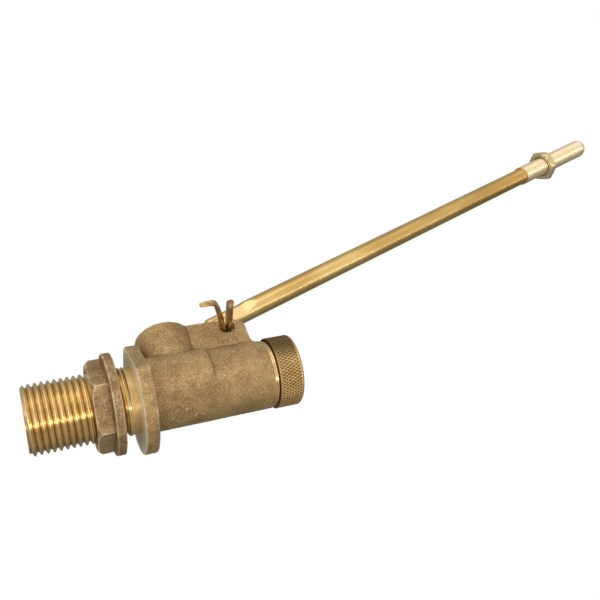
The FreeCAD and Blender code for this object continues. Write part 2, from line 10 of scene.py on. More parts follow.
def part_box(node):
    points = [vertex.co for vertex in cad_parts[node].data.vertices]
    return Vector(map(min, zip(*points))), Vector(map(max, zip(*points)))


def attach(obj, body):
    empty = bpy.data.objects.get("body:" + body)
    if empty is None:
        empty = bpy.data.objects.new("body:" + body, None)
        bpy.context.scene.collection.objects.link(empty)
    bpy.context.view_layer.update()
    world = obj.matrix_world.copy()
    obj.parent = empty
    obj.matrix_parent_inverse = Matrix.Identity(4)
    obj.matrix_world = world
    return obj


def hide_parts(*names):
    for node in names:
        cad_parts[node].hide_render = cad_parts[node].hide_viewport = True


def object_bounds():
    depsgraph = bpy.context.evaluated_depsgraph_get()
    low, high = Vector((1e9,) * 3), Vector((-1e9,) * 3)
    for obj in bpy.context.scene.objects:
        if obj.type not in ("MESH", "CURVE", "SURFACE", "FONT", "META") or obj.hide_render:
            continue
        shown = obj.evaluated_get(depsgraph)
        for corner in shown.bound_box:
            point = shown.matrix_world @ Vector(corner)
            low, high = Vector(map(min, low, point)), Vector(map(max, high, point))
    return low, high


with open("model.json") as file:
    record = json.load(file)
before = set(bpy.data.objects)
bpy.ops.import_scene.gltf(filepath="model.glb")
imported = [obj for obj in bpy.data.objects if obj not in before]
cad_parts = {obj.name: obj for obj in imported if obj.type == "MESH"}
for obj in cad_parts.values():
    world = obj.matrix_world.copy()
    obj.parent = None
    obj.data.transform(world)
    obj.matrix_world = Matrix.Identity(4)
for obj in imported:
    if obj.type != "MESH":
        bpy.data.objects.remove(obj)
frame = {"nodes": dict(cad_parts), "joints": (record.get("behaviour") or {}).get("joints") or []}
cad_low, cad_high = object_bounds()

# Float valve. Sizes are millimetres in the CAD's frame until a mesh is made.
MM = 0.001
TURN = 2 * math.pi
COARSE = 1.0
rng = np.random.default_rng(68)

# shank, flange and neck
SHANK_R = 10.4775
SHANK_END = -31.5
PITCH = 1.814
THREAD_DEPTH = 1.162
NECK_R = 10.2
NECK = 2.3
INLET_R = 7.0
FLANGE_R = 16.8
FLANGE = 4.1
GATE_ANGLE = 58
GATE_R = 13.9
# cylinder and its end
BARREL_R = 10.95
BARREL_END = 42.1
REGISTER_R = 10.55
REGISTER_END = 43.2
SPIGOT_R = 9.9
SPIGOT_END = 48.6
SPIGOT_PITCH = 1.3
BORE_R = 8.0
BORE_START = 6.0
WEB_START = 1.0
NOZZLE_HOLE_R = 5.2
# outlet boss
BOSS_X = 13.5
BOSS_R = 8.9
BOSS_TOP = 20.95
CHAMBER_END = 23.4
CHAMBER_SIDE = 0.6
CHAMBER_LIFT = 0.5
OUTLET_R = 5.6
OUTLET_FLOOR = 9.4
PORT_R = 4.5
# lugs and the lever's slot
LUG_HALF = 5.2
LUG_END = 40.15
LUG_DROP = 0.9
LUG_DROP_AT = 37.5
LUG_SLOPE = 0.13
SLOT_HALF = 2.8
SLOT_START = 24.6
SLOT_FLOOR = 11.3
WINDOW_HALF = 5.9
PIN_HOLE_R = 2.6
PIN_R = 1.925
# back nut
NUT_HALF_FLATS = 12.25
NUT_TURN = 8
NUT_FLANGE = 2.7
NUT_FLANGE_R = 15.4
NUT_TAPER_R = 12.7
NUT_TAPER_SLOPE = 1.15
# end cap
KNURL_DEPTH = 0.2
KNURL_LINES = 68
KNURL_ANGLE = 30
KNURL_RIDGE = 0.26
CAP_WALL = 2.0
# lever
PIVOT = Vector(next(j for j in frame["joints"] if j["name"] == "lever_swing")["pos_m"]) / MM
ROD_AXIS = Vector(next(j for j in frame["joints"] if j["name"] == "lock_nut_travel")["axis"])
RISE = math.atan2(ROD_AXIS.z, ROD_AXIS.x)
ROD_R = 3.5
ROD_LIFT = 5.0
ROD_HEAD = -3.2
THREAD_START = 169.5
ROD_TIP = 218.2
TIP_ROUND = 3.4
HEAD_HALF = 2.55
HEAD_END = 11.0
RUN_OUT = 0.19
BEVEL_AT = 3.0
EYE_R = 5.4
EYE_HOLE_R = 2.0
CAM_REACH = 15.5
CAM_R = 3.6
FLOAT_THREAD_R = 3.95
FLOAT_PITCH = 1.25
LOCK_NUT_AT = 184.9
LOCK_NUT_TURN = 24

# ---------------------------------------------------------------- signed distance fields


class Field:
    """A box of grid points. Shapes are arrays of distances in mm, negative inside."""

    def __init__(self, low, high, step):
        self.low = np.array(low, float)
        self.step = step
        count = np.ceil((np.array(high) - self.low) / step).astype(int) + 1
        axes = [self.low[i] + step * np.arange(count[i]) for i in range(3)]
        self.x = axes[0][:, None, None]
        self.y = axes[1][None, :, None]
        self.z = axes[2][None, None, :]
        self.shape = tuple(count)

    def full(self, values):
        return np.broadcast_to(values, self.shape).astype(np.float32)

    def grain(self, amount, passes):
        """Sand texture: random numbers blurred a few cells wide, scaled to amount mm."""
        noise = rng.standard_normal(self.shape).astype(np.float32)
        for _ in range(passes):
            for axis in range(3):
                noise = (noise + np.roll(noise, 1, axis)) / 2
        return noise * (amount / noise.std())


def rounded(a, b, radius):
    """Both shapes at once, with a rounded edge where their faces meet."""
    corner = np.hypot(np.maximum(a + radius, 0), np.maximum(b + radius, 0))
    return np.minimum(np.maximum(a, b), -radius) + corner


def filleted(a, b, radius):
    """Either shape, with a fillet where they meet."""
    corner = np.hypot(np.maximum(radius - a, 0), np.maximum(radius - b, 0))
    return np.maximum(np.minimum(a, b), radius) - corner


def cut(a, b, radius=0.1):
    """The first shape without the second, with a rounded edge."""
    return rounded(a, -b, radius)


def between(values, low, high):
    """A slab: how far outside low to high each value lies."""
    return np.maximum(low - values, values - high)


def along_x(f, radius, low, high, edge, centre=(0, 0)):
    """A cylinder along X."""
    side = np.hypot(f.y - centre[0], f.z - centre[1]) - radius
    return rounded(side, between(f.x, low, high), edge)


def surface_net(f, field):
    """The zero surface of a field as quads, one vertex in each cell it passes through."""
    inside = field < 0
    total, hits = crossings(f, field, inside)
    active = hits > 0
    number = np.full(hits.shape, -1, np.int64)
    number[active] = np.arange(active.sum())
    index = np.argwhere(active)
    points = f.low + f.step * (index + total[active] / hits[active][:, None])
    quads = net_quads(inside, number)
    return relaxed(points, quads), quads


def crossings(f, field, inside):
    """For each cell, the sum of the places where its edges cross the surface, and their number."""
    cells = tuple(n - 1 for n in f.shape)
    total = np.zeros(cells + (3,), np.float32)
    hits = np.zeros(cells, np.float32)
    for axis in range(3):
        others = [i for i in range(3) if i != axis]
        for corner in ((0, 0), (0, 1), (1, 0), (1, 1)):
            near = [slice(None)] * 3
            near[axis] = slice(0, -1)
            for other, shift in zip(others, corner):
                near[other] = slice(shift, f.shape[other] - 1 + shift)
            far = list(near)
            far[axis] = slice(1, None)
            a, b = field[tuple(near)], field[tuple(far)]
            crossed = inside[tuple(near)] != inside[tuple(far)]
            share = np.where(crossed, a / np.where(crossed, a - b, 1), 0)
            total[..., axis] += share
            for other, shift in zip(others, corner):
                total[..., other] += crossed * shift
            hits += crossed
    return total, hits


def net_quads(inside, number):
    """A quad round each grid edge that crosses the surface, from the numbers of its four cells."""
    quads = []
    for axis in range(3):
        u, v = [(1, 2), (2, 0), (0, 1)][axis]
        near = [slice(1, -1)] * 3
        near[axis] = slice(0, -1)
        far = [slice(1, -1)] * 3
        far[axis] = slice(1, None)
        a, b = inside[tuple(near)], inside[tuple(far)]
        for wanted, order in ((a & ~b, (0, 1, 2, 3)), (~a & b, (3, 2, 1, 0))):
            place = np.argwhere(wanted) + 1
            place[:, axis] -= 1
            ring = []
            for du, dv in ((-1, -1), (0, -1), (0, 0), (-1, 0)):
                cell = place.copy()
                cell[:, u] += du
                cell[:, v] += dv
                ring.append(number[tuple(cell.T)])
            quads.append(np.stack([ring[i] for i in order], 1))
    return np.concatenate(quads)


def bend_at(f, field, points):
    """How sharply the plain shape bends at each point: above 0 on edges, below 0 in corners, per mm."""
    bend = np.zeros_like(field)
    for axis in range(3):
        bend += np.roll(field, 1, axis) + np.roll(field, -1, axis) - 2 * field
    for axis in range(3):
        bend = (np.roll(bend, 1, axis) + 2 * bend + np.roll(bend, -1, axis)) / 4
    nearest = np.rint((points - f.low) / f.step).astype(int)
    return bend[tuple(nearest.T)] / f.step**2


def relaxed(points, quads, share=0.5):
    """Moves each point part of the way to the mean of its neighbours, which takes out lone spikes."""
    total = np.zeros_like(points)
    count = np.zeros(len(points))
    for k in range(4):
        for other in (quads[:, (k + 1) % 4], quads[:, (k + 3) % 4]):
            np.add.at(total, quads[:, k], points[other])
            np.add.at(count, quads[:, k], 1)
    return points + share * (total / count[:, None] - points)


# ---------------------------------------------------------------- turned shapes


def spun(x, r, close=True):
    """Quads over rows of points turned about X. x and r are rows by columns round the turn."""
    rows, columns = x.shape
    angle = TURN * np.arange(columns) / columns
    points = np.stack([x, r * np.cos(angle), r * np.sin(angle)], -1).reshape(-1, 3)
    row = np.arange(rows if close else rows - 1)
    a = (row[:, None] * columns + np.arange(columns)).ravel()
    b = (row[:, None] * columns + (np.arange(columns) + 1) % columns).ravel()
    step = columns
    c = (b + step) % (rows * columns)
    d = (a + step) % (rows * columns)
    return points, np.stack([a, d, c, b], 1)


def plain_rows(outline, columns):
    """Rows of constant x and r."""
    outline = np.array(outline, float)
    ones = np.ones(columns)
    return outline[:, :1] * ones, outline[:, 1:] * ones


def stack_rows(*parts):
    """One outline from several, each a pair of x rows and r rows."""
    return np.concatenate([p[0] for p in parts]), np.concatenate([p[1] for p in parts])


def thread_rows(start, end, major, pitch, depth, columns, fade=(0.0, 0.0)):
    """Rows of a helical thread whose rows follow the helix. It fades out over fade at the ends."""
    shape_at = np.array([0.0, 0.07, 0.14, 0.40, 0.50, 0.60, 0.86, 0.93, 1.0])
    shape_is = np.array([0.0, 0.03, 0.13, 0.85, 1.00, 0.85, 0.13, 0.03, 0.0])
    turns = np.arange(-1, int((end - start) / pitch) + 2)
    phase = (turns[:, None] + shape_at[:-1]).ravel()
    angle = np.arange(columns) / columns
    x = np.clip(start + pitch * (phase[:, None] + angle), start, end)
    cycle = ((x - start) / pitch - angle) % 1.0
    groove = depth * np.interp(cycle, shape_at, shape_is)
    if fade[0]:
        groove = groove * np.clip((x - start) / fade[0], 0, 1)
    if fade[1]:
        groove = groove * np.clip((end - x) / fade[1], 0, 1)
    return x, major - groove


# ---------------------------------------------------------------- pieces


def piece(name, shape, body, look, sharp=None, place=None, replaced=None, bend=None):
    """Makes a mesh from points in mm and faces, and lets it ride on a CAD body."""
    points, faces = shape
    points = np.asarray(points, float) * MM
    mesh = bpy.data.meshes.new(name)
    mesh.from_pydata(points.tolist(), [], [list(face) for face in faces])
    if place is not None:
        mesh.transform(place)
    if bend is not None:
        mesh.attributes.new("bend", "FLOAT", "POINT").data.foreach_set("value", bend.astype(np.float32))
    mesh = cleaned(mesh)
    mesh.materials.append(look)
    mesh.shade_smooth()
    if sharp:
        mesh.set_sharp_from_angle(angle=math.radians(sharp))
    obj = placed(name, mesh)
    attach(obj, body)
    if replaced:
        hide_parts(replaced)


def cleaned(mesh):
    """Merges points that coincide, so that no face without area is left."""
    bm = bmesh.new()
    bm.from_mesh(mesh)
    bmesh.ops.remove_doubles(bm, verts=bm.verts, dist=1e-6)
    bmesh.ops.dissolve_degenerate(bm, edges=bm.edges, dist=1e-7)
    bmesh.ops.recalc_face_normals(bm, faces=bm.faces)
    bm.to_mesh(mesh)
    bm.free()
    return mesh


def on_lever(along=0.0, above=0.0, tilt=0.0):
    """The matrix that puts a shape drawn along X onto the lever's rod."""
    turn = Matrix.Rotation(-RISE, 4, "Y")
    shift = turn @ Matrix.Translation(Vector((along, 0, above)) * MM)
    return Matrix.Translation(PIVOT * MM) @ shift @ Matrix.Rotation(math.radians(tilt), 4, "X")


def sanded(f, solid):
    """The field with the sand mould's texture: fine grain over slightly coarser grain."""
    return f.full(solid) + f.grain(0.022, 1) + f.grain(0.018, 4)


def casting(look):
    """The sand-cast middle of the body: flange, chamber, outlet boss and lugs."""
    f = Field((-1.0, -18.0, -18.0), (43.2, 18.0, 22.2), 0.28 * COARSE)
    solid = filleted(barrel_shape(f), boss_and_lugs(f), np.interp(f.x, [36.0, 38.5], [0.7, 1.7]))
    solid = filleted(solid, flange_shape(f), 0.8)
    ends = between(f.x, 0.0, BARREL_END)
    space = machined_space(f)
    plain = cut(np.maximum(f.full(solid), ends), space, 0.12)
    shape = surface_net(f, cut(np.maximum(sanded(f, solid), ends), space, 0.12))
    bend = bend_at(f, plain, shape[0])
    piece("valve_casting", shape, "valve", look, replaced="valve_body", bend=bend)


def barrel_shape(f):
    """The cylinder's outside and the wider chamber beside the flange."""
    barrel = along_x(f, BARREL_R, 1.0, BARREL_END, 0.12)
    wide = np.hypot(np.maximum(np.abs(f.y) - CHAMBER_SIDE, 0), f.z - CHAMBER_LIFT) - BARREL_R
    chamber = rounded(wide, between(f.x, 1.0, CHAMBER_END), 0.5)
    return filleted(barrel, chamber, 0.25)


def boss_and_lugs(f):
    """The outlet boss and the pair of lugs as one block; the slot between them is cut later."""
    boss = rounded(np.hypot(f.x - BOSS_X, f.y) - BOSS_R, between(f.z, 0.0, BOSS_TOP), 0.4)
    over_top = f.z - BOSS_TOP
    crest = np.maximum(over_top, over_top + LUG_DROP + (f.x - LUG_DROP_AT) * LUG_SLOPE)
    profile = rounded(crest, f.x - LUG_END, 2.6)
    profile = np.maximum(profile, BOSS_X - f.x)
    lugs = rounded(profile, np.abs(f.y) - LUG_HALF, 0.25)
    return filleted(boss, np.maximum(lugs, -f.z), 0.4)


def flange_shape(f):
    """The round flange with the flat where the casting's gate was cut off."""
    angle = math.radians(GATE_ANGLE)
    gate = -math.sin(angle) * f.y + math.cos(angle) * f.z - GATE_R
    return rounded(along_x(f, FLANGE_R, 0.0, FLANGE, 0.4), gate, 0.3)


def machined_space(f):
    """Everything the machining takes away: bores, outlet, the lever's slot and the pin's hole."""
    from_boss = np.hypot(f.x - BOSS_X, f.y)
    over_pivot = between(f.x, PIVOT.x - WINDOW_HALF, PIVOT.x + WINDOW_HALF)
    spaces = [
        along_x(f, BORE_R + 0.05, BORE_START, 60.0, 0.0),
        along_x(f, INLET_R + 0.05, -9.0, WEB_START, 0.0),
        along_x(f, NOZZLE_HOLE_R, -9.0, 9.0, 0.0),
        np.maximum(from_boss - OUTLET_R, OUTLET_FLOOR - f.z),
        np.maximum(from_boss - PORT_R, -f.z),
        np.maximum(np.abs(f.y) - SLOT_HALF, np.maximum(SLOT_START - f.x, SLOT_FLOOR - f.z)),
        np.maximum(np.abs(f.y) - SLOT_HALF, np.maximum(over_pivot, 4.0 - f.z)),
        np.hypot(f.x - PIVOT.x, f.z - PIVOT.z) - PIN_HOLE_R,
    ]
    total = spaces[0]
    for space in spaces[1:]:
        total = np.minimum(total, space)
    return total


def shank(look):
    """The turned shank with its thread, run out into the neck under the flange."""
    columns = 128
    x, r = thread_rows(SHANK_END, -NECK, SHANK_R, PITCH, THREAD_DEPTH, columns, fade=(0, 1.2))
    end_bevel = SHANK_R - THREAD_DEPTH * 0.9 + np.maximum(x - SHANK_END, 0) * 1.1
    land = NECK_R - 0.02
    neck = plain_rows([(-NECK, NECK_R), (-NECK + 0.05, land), (0.5, land), (0.5, INLET_R)], columns)
    bore = plain_rows([(SHANK_END + 0.6, INLET_R), (SHANK_END, INLET_R + 0.6)], columns)
    shape = spun(*stack_rows((x, np.minimum(r, end_bevel)), neck, bore))
    piece("inlet_shank", shape, "valve", look, sharp=38)


def spigot(look):
    """The register ring that shows beside the cap, and the male thread under the cap."""
    columns = 128
    start = BARREL_END - 0.5
    groove = BARREL_END + 0.4
    depth = 0.8
    outline = [
        (start, BORE_R), (start, REGISTER_R),
        (groove - 0.15, REGISTER_R), (groove, REGISTER_R - 0.18), (groove + 0.15, REGISTER_R),
        (REGISTER_END - 0.15, REGISTER_R), (REGISTER_END, REGISTER_R - 0.15), (REGISTER_END, SPIGOT_R - 0.9),
    ]
    ring = plain_rows(outline, columns)
    x, r = thread_rows(REGISTER_END, SPIGOT_END, SPIGOT_R, SPIGOT_PITCH, depth, columns, fade=(1.0, 0))
    end_bevel = SPIGOT_R - depth + (SPIGOT_END - x) * 1.2
    end = plain_rows([(SPIGOT_END, BORE_R + 0.3), (SPIGOT_END - 0.3, BORE_R)], columns)
    shape = spun(*stack_rows(ring, (x, np.minimum(r, end_bevel)), end))
    piece("cap_spigot", shape, "valve", look, sharp=38)


def back_nut(look):
    """Cast hexagon, bevelled at its outer end, on a round flange."""
    low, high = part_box("back_nut")
    left, right = low.x / MM, high.x / MM
    f = Field((left - 1.0, -16.6, -16.6), (right + 1.0, 16.6, 16.6), 0.22 * COARSE)
    prism = None
    for number in range(3):
        angle = math.radians(NUT_TURN + 30 + 60 * number)
        side = np.abs(math.cos(angle) * f.y + math.sin(angle) * f.z) - NUT_HALF_FLATS
        prism = side if prism is None else rounded(prism, side, 0.12)
    cone = np.hypot(f.y, f.z) - (NUT_TAPER_R + (f.x - left) * NUT_TAPER_SLOPE)
    cone = cone / math.hypot(1, NUT_TAPER_SLOPE)
    block = rounded(rounded(prism, cone, 0.15), between(f.x, left, right), 0.2)
    disc = along_x(f, NUT_FLANGE_R, right - NUT_FLANGE, right, 0.3)
    solid = filleted(block, disc, 0.4)
    ends = between(f.x, left, right)
    bore = np.hypot(f.y, f.z) - (SHANK_R + 0.05)
    mouth = np.hypot(f.y, f.z) - (SHANK_R + 0.9 - (f.x - left))
    space = np.minimum(bore, mouth)
    plain = cut(np.maximum(f.full(solid), ends), space, 0.1)
    shape = surface_net(f, cut(np.maximum(sanded(f, solid), ends), space, 0.1))
    bend = bend_at(f, plain, shape[0])
    piece("flanged_back_nut", shape, "back_nut", look, replaced="back_nut", bend=bend)


def end_cap(look):
    """Cup whose knurl's raised lines cross between a narrow lip and a plain band."""
    low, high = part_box("end_cap")
    left, right = low.x / MM, high.x / MM
    radius = high.z / MM
    columns = KNURL_LINES * 8
    start, end = left + 0.35, right - 0.95
    rows = 66
    x = np.linspace(start, end, rows)[:, None] * np.ones(columns)
    angle = np.arange(columns) / columns
    lean = math.tan(math.radians(KNURL_ANGLE)) * KNURL_LINES / (TURN * radius)
    ridges = []
    for hand in (1, -1):
        phase = (KNURL_LINES * angle + hand * lean * (x - start)) % 1.0
        ridges.append(np.clip(1 - np.abs(phase - 0.5) / KNURL_RIDGE, 0, 1))
    fade = np.clip(np.minimum(x - start, end - x) / 0.25, 0, 1)
    r = radius - KNURL_DEPTH * (1 - np.maximum(*ridges)) * fade
    outside = plain_rows([(left, radius - 0.45), (left + 0.12, radius - 0.15)], columns)
    closing = plain_rows(
        [(right - 0.8, radius - 0.02), (right - 0.55, radius - 0.12), (right - 0.25, radius - 0.42),
         (right - 0.04, radius - 0.95), (right, radius - 1.6), (right, radius * 0.5), (right, 0.0)],
        columns,
    )
    inner_r = SPIGOT_R + 0.05
    inner = plain_rows([(right - CAP_WALL, 0.0), (right - CAP_WALL, inner_r)], columns)
    thread = thread_rows(left, right - CAP_WALL - 0.6, inner_r, SPIGOT_PITCH, -0.55, columns, fade=(0.6, 0.6))
    thread = thread[0][::-1], thread[1][::-1]
    shape = spun(*stack_rows(outside, (x, r), closing, inner, thread))
    piece("knurled_cap", shape, "end_cap", look, sharp=50, replaced="end_cap")


def lever_rod(look):
    """The drawn rod with its thread and rounded tip."""
    columns = 72
    start = 17.0
    outline = [(start, 0.0)]
    outline += [(x, ROD_R) for x in (start, 60.0, 100.0, 140.0, THREAD_START - 0.3)]
    outline.append((THREAD_START, ROD_R + 0.1))
    body = plain_rows(outline, columns)
    round_start = ROD_TIP - TIP_ROUND
    depth = 0.42
    screw = thread_rows(THREAD_START, round_start, FLOAT_THREAD_R, FLOAT_PITCH, depth, columns, (1.0, 0.8))
    tip = []
    steps = 8
    for number in range(1, steps + 1):
        turn = number / steps * math.pi / 2
        r = (FLOAT_THREAD_R - 0.05) * math.cos(turn) if number < steps else 0.0
        tip.append((round_start + TIP_ROUND * math.sin(turn), r))
    shape = spun(*stack_rows(body, screw, plain_rows(tip, columns)), close=False)
    piece("lever_rod", shape, "lever", look, sharp=40, place=on_lever(0, ROD_LIFT))


def lever_head(look):
    """The rod's flattened end, its eye and its cam finger, in the lever's own frame."""
    f = Field((-9.0, -4.4, -20.0), (19.6, 4.4, 9.4), 0.22 * COARSE)
    solid = filleted(filleted(flattened_rod(f), pin_eye(f), 0.8), cam_finger(f), 0.6)
    solid = cut(f.full(solid), f.full(np.hypot(f.x, f.z) - EYE_HOLE_R), 0.15)
    shape = surface_net(f, solid)
    piece("lever_head", shape, "lever", look, place=on_lever(), replaced="lever_arm")


def flattened_rod(f):
    """The rod's end with two flat sides and two bevels, which run out along the rod."""
    rod = rounded(np.hypot(f.y, f.z - ROD_LIFT) - ROD_R, ROD_HEAD - f.x, 1.6)
    run_out = np.maximum(f.x - HEAD_END, 0) * RUN_OUT
    rod = rounded(rod, np.abs(f.y) - HEAD_HALF - run_out, 0.12)
    bevel = (f.z - ROD_LIFT + np.abs(f.y)) / math.sqrt(2) - BEVEL_AT - run_out
    rod = rounded(rod, bevel, 0.12)
    return np.maximum(rod, f.x - 17.6)


def pin_eye(f):
    """The round plate that the split pin passes through."""
    return rounded(np.hypot(f.x, f.z) - EYE_R, np.abs(f.y) - HEAD_HALF, 0.3)


def cam_finger(f):
    """The finger that hangs straight down from the pivot, with its round end."""
    cosine, sine = math.cos(RISE), math.sin(RISE)
    across = f.x * cosine - f.z * sine
    down = f.x * sine + f.z * cosine
    width = np.interp(-down, [0.0, 6.0, CAM_REACH], [4.3, 1.9, 1.9])
    stem = np.maximum(np.abs(across) - width, np.maximum(down, -CAM_REACH - down))
    cam = np.minimum(stem, np.hypot(across, down + CAM_REACH) - CAM_R)
    return rounded(cam, np.abs(f.y) - HEAD_HALF, 0.3)


def split_pin(look):
    """Half-round wire: an eye behind the lugs, two legs through them, one bent over.

    The bend points are x and y in mm from the pivot.
    """
    leg = [(0.03, 2.0), (0.03, -2.0), (0.0, -5.0), (-0.25, -9.0), (-0.5, -13.0), (-0.7, -15.6)]
    bent_end = [(-10.2, -17.75), (-8.0, -18.1), (-5.9, -18.0), (-4.7, -17.3)]
    tail = bent_end + [(-3.6, -15.4), (-2.3, -12.2), (-1.6, -9.0), (-0.6, -5.2), (-0.03, -2.6), (-0.03, 0.0)]
    loop = [(0.03, 5.6), (0.25, 6.6), (1.3, 7.8), (2.0, 9.2), (1.7, 10.6), (0.0, 11.6)]
    other_side = [(-x, y) for x, y in loop[:-1]]
    points = smooth_path(tail + other_side + loop[::-1] + leg, 6)
    tangent = np.gradient(points, axis=0)
    tangent /= np.linalg.norm(tangent, axis=1)[:, None]
    outward = np.stack([-tangent[:, 1], tangent[:, 0]], 1)
    steps = np.linalg.norm(np.diff(points, axis=0), axis=1)
    length = np.concatenate([[0], np.cumsum(steps)])
    taper = np.interp(length, [0, 1.0, 5.0, 10.0], [0.22, 0.36, 0.55, 0.92])
    turn = np.linspace(-math.pi / 2, math.pi / 2, 13)
    across = np.cos(turn) * PIN_R * taper[:, None]
    upward = np.sin(turn) * PIN_R * (0.2 + 0.8 * taper[:, None])
    x = points[:, :1] + outward[:, :1] * across
    y = points[:, 1:] + outward[:, 1:] * across
    y[-1] -= 1.4 * np.cos(turn)
    rings = np.stack([x, y, upward], -1)
    place = Matrix.Translation(PIVOT * MM)
    shape = capped_tube(rings)
    piece("split_pin_wire", shape, "valve", look, sharp=40, place=place, replaced="split_pin")


def capped_tube(rings):
    """Quads along a row of rings, with a small ring and a middle point closing each end."""
    count, size, _ = rings.shape
    points = np.concatenate([rings.reshape(-1, 3), [rings[0].mean(0), rings[-1].mean(0)]])
    row = np.arange(count - 1)[:, None] * size
    a = (row + np.arange(size)).ravel()
    b = (row + (np.arange(size) + 1) % size).ravel()
    faces = np.stack([a, b, b + size, a + size], 1).tolist()
    first, last = count * size, count * size + 1
    end = (count - 1) * size
    for k in range(size):
        after = (k + 1) % size
        faces.append((first, after, k))
        faces.append((last, end + k, end + after))
    return points, faces


def smooth_path(points, steps):
    """Catmull-Rom curve through points."""
    p = np.array(points, float)
    p = np.concatenate([[2 * p[0] - p[1]], p, [2 * p[-1] - p[-2]]])
    out = []
    for i in range(1, len(p) - 2):
        for k in range(steps):
            t = k / steps
            a, b, c, d = p[i - 1], p[i], p[i + 1], p[i + 2]
            square = (2 * a - 5 * b + 4 * c - d) * t**2
            cube = (3 * b - a - 3 * c + d) * t**3
            out.append(0.5 * (2 * b + (c - a) * t + square + cube))
    out.append(p[-2])
    return np.array(out)


def lock_nut(look):
    """Thin hexagon nut with turned corners."""
    columns = 96
    half_flats = 6.0
    thick = 3.0
    face, turned, bevel = half_flats + 0.05, half_flats + 0.2, 0.55
    angle = TURN * np.arange(columns) / columns
    sector = (angle % (TURN / 6)) - TURN / 12
    hexagon = half_flats / np.cos(sector)
    corner = half_flats / math.cos(TURN / 12)
    limits = [
        (0.0, face), (0.08, turned), (bevel, corner),
        (thick - bevel, corner), (thick - 0.08, turned), (thick, face),
    ]
    x = np.array([np.full(columns, place) for place, _ in limits])
    r = np.array([np.minimum(hexagon, limit) for _, limit in limits])
    inner = plain_rows([(thick, 4.6), (thick - 0.6, 4.0), (0.6, 4.0), (0.0, 4.6)], columns)
    shape = spun(*stack_rows((x, r), inner))
    place = on_lever(LOCK_NUT_AT, ROD_LIFT, LOCK_NUT_TURN + 30)
    node = "float_lock_nut"
    piece("float_nut", shape, node, look, sharp=30, place=place, replaced=node)


# ---------------------------------------------------------------- looks


class Nodes:
    """Short steps for building a node tree."""

    def __init__(self, tree):
        self.tree = tree

    def add(self, kind, **inputs):
        node = self.tree.nodes.new(kind)
        for name, value in inputs.items():
            self.feed(node.inputs[name.replace("_", " ")], value)
        return node

    def feed(self, socket, value):
        if isinstance(value, bpy.types.NodeSocket):
            self.tree.links.new(value, socket)
        else:
            socket.default_value = value

    def feed_all(self, node, *values):
        """Feeds a node's first inputs in order."""
        for socket, value in zip(node.inputs, values):
            self.feed(socket, value)
        return node

    def math(self, kind, a, b=0.0):
        node = self.add("ShaderNodeMath")
        node.operation = kind
        return self.feed_all(node, a, b).outputs[0]


class Look(Nodes):
    """A node material written as a short list of steps."""

    def __init__(self, name):
        self.material = bpy.data.materials.new(name)
        self.material.use_nodes = True
        super().__init__(self.material.node_tree)
        self.shader = self.tree.nodes["Principled BSDF"]
        self.place = self.add("ShaderNodeTexCoord").outputs["Object"]

    def set(self, **inputs):
        for name, value in inputs.items():
            self.feed(self.shader.inputs[name.replace("_", " ")], value)

    def noise(self, size, detail=3.0, roughness=0.6, place=None):
        """Noise whose features are about size mm across."""
        scale = 1 / (size * MM)
        node = self.add("ShaderNodeTexNoise", Vector=place or self.place, Scale=scale)
        node.inputs["Detail"].default_value = detail
        node.inputs["Roughness"].default_value = roughness
        return node.outputs["Fac"]

    def stretched(self, x, y, z):
        """Object coordinates with each axis scaled, so that a noise turns into streaks."""
        return self.add("ShaderNodeMapping", Vector=self.place, Scale=(x, y, z)).outputs[0]

    def distance_from(self, spot):
        """Distance in metres from a spot given in mm."""
        node = self.add("ShaderNodeVectorMath", Vector=self.place)
        node.operation = "DISTANCE"
        node.inputs[1].default_value = Vector(spot) * MM
        return node.outputs["Value"]

    def high_side(self, y, z):
        """How far up the barrel a point lies, on the side that the photo shows."""
        return self.math("SUBTRACT", self.math("MULTIPLY", z, 0.74), self.math("MULTIPLY", y, 0.66))

    def remap(self, value, low, high, new_low=0.0, new_high=1.0):
        node = self.add("ShaderNodeMapRange")
        node.interpolation_type = "SMOOTHSTEP"
        return self.feed_all(node, value, low, high, new_low, new_high).outputs["Result"]

    def mix(self, share, a, b):
        node = self.add("ShaderNodeMix")
        node.data_type = "RGBA"
        self.feed(node.inputs[0], share)
        self.feed(node.inputs[6], a)
        self.feed(node.inputs[7], b)
        return node.outputs[2]

    def part(self, axis):
        return self.add("ShaderNodeSeparateXYZ", Vector=self.place).outputs[axis]

    def turned(self, matrix, stretch=(1, 1, 1)):
        """Object coordinates seen from another frame, then stretched."""
        loc, rot, _ = matrix.inverted().decompose()
        moved = self.add("ShaderNodeMapping", Vector=self.place, Location=loc, Rotation=rot.to_euler())
        return self.add("ShaderNodeMapping", Vector=moved.outputs[0], Scale=stretch).outputs[0]

    def pointed(self, low, high):
        """0 in hollows to 1 on edges."""
        return self.remap(self.add("ShaderNodeNewGeometry").outputs["Pointiness"], low, high)

    def bump(self, height, depth, normal=None):
        node = self.add("ShaderNodeBump", Height=height, Distance=depth * MM, Strength=1.0)
        if normal is not None:
            self.feed(node.inputs["Normal"], normal)
        return node.outputs[0]


def rgb(red, green, blue):
    """A colour given as the eye sees it, 0 to 255."""
    return tuple((v / 255) ** 2.2 for v in (red, green, blue)) + (1.0,)


